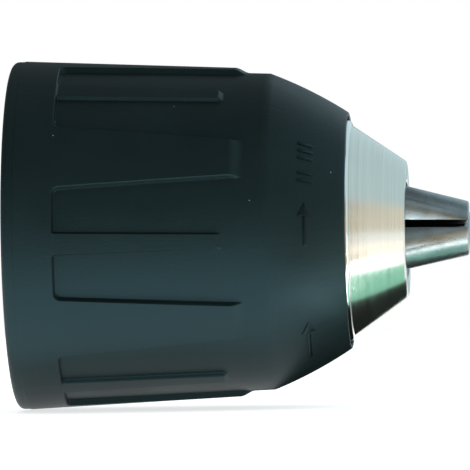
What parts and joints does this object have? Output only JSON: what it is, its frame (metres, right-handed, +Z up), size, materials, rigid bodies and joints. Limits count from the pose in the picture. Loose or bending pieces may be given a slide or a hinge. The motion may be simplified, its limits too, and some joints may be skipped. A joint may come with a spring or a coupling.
{
  "type": "keyless drill chuck",
  "caption": "Keyless drill chuck: black grip sleeve with ribbed pockets, bright steel nose cone and slanted steel jaws that open and close as the sleeve turns.",
  "frame": {"origin": "middle of the seat face at the tail of the chuck body, on the chuck's axis", "axes": "+X along the axis towards the jaws, +Z up"},
  "size_m": [0.0564, 0.043, 0.043],
  "materials": {
    "black_nylon": "matte",
    "plated_steel": "brushed",
    "jaw_steel": "satin",
    "machined_steel": "satin",
    "bearing_steel": "polished"
  },
  "bodies": {
    "body": {"chuck_body": "machined_steel", "nosepiece": "plated_steel", "rear_cover": "black_nylon", "rear_race": "bearing_steel"},
    "sleeve": {"grip_sleeve": "black_nylon", "nut_half_a": "jaw_steel", "nut_half_b": "jaw_steel", "nut_band": "machined_steel", "front_race": "bearing_steel"},
    "cage": {"ball_cage": "machined_steel", "bearing_ball_01": "bearing_steel", "bearing_ball_02": "bearing_steel", "bearing_ball_03": "bearing_steel", "bearing_ball_04": "bearing_steel", "bearing_ball_05": "bearing_steel", "bearing_ball_06": "bearing_steel", "bearing_ball_07": "bearing_steel", "bearing_ball_08": "bearing_steel", "bearing_ball_09": "bearing_steel", "bearing_ball_10": "bearing_steel", "bearing_ball_11": "bearing_steel", "bearing_ball_12": "bearing_steel", "bearing_ball_13": "bearing_steel", "bearing_ball_14": "bearing_steel", "bearing_ball_15": "bearing_steel", "bearing_ball_16": "bearing_steel", "bearing_ball_17": "bearing_steel", "bearing_ball_18": "bearing_steel"},
    "jaw_1": {"jaw_1": "jaw_steel"},
    "jaw_2": {"jaw_2": "jaw_steel"},
    "jaw_3": {"jaw_3": "jaw_steel"}
  },
  "joints": [
    {"name": "sleeve_turn", "type": "hinge", "parent": "body", "child": "sleeve", "pos_m": [0, 0, 0], "axis": [1, 0, 0], "range_deg": [-250, 3090]},
    {"name": "cage_turn", "type": "hinge", "parent": "body", "child": "cage", "pos_m": [0.01915, 0, 0], "axis": [1, 0, 0], "range_deg": [-125, 1545]},
    {"name": "jaw_1_slide", "type": "slide", "parent": "body", "child": "jaw_1", "axis": [-0.9636, -0.087, 0.2527], "range_m": [-0.0014, 0.0172]},
    {"name": "jaw_2_slide", "type": "slide", "parent": "body", "child": "jaw_2", "axis": [-0.9636, -0.1753, -0.2017], "range_m": [-0.0014, 0.0172]},
    {"name": "jaw_3_slide", "type": "slide", "parent": "body", "child": "jaw_3", "axis": [-0.9636, 0.2623, -0.051], "range_m": [-0.0014, 0.0172]}
  ],
  "couplings": [
    {"joint": "cage_turn", "follows": "sleeve_turn", "ratio": 0.5},
    {"joint": "jaw_1_slide", "follows": "sleeve_turn", "m_per_rad": 0.00031831},
    {"joint": "jaw_2_slide", "follows": "sleeve_turn", "m_per_rad": 0.00031831},
    {"joint": "jaw_3_slide", "follows": "sleeve_turn", "m_per_rad": 0.00031831}
  ]
}
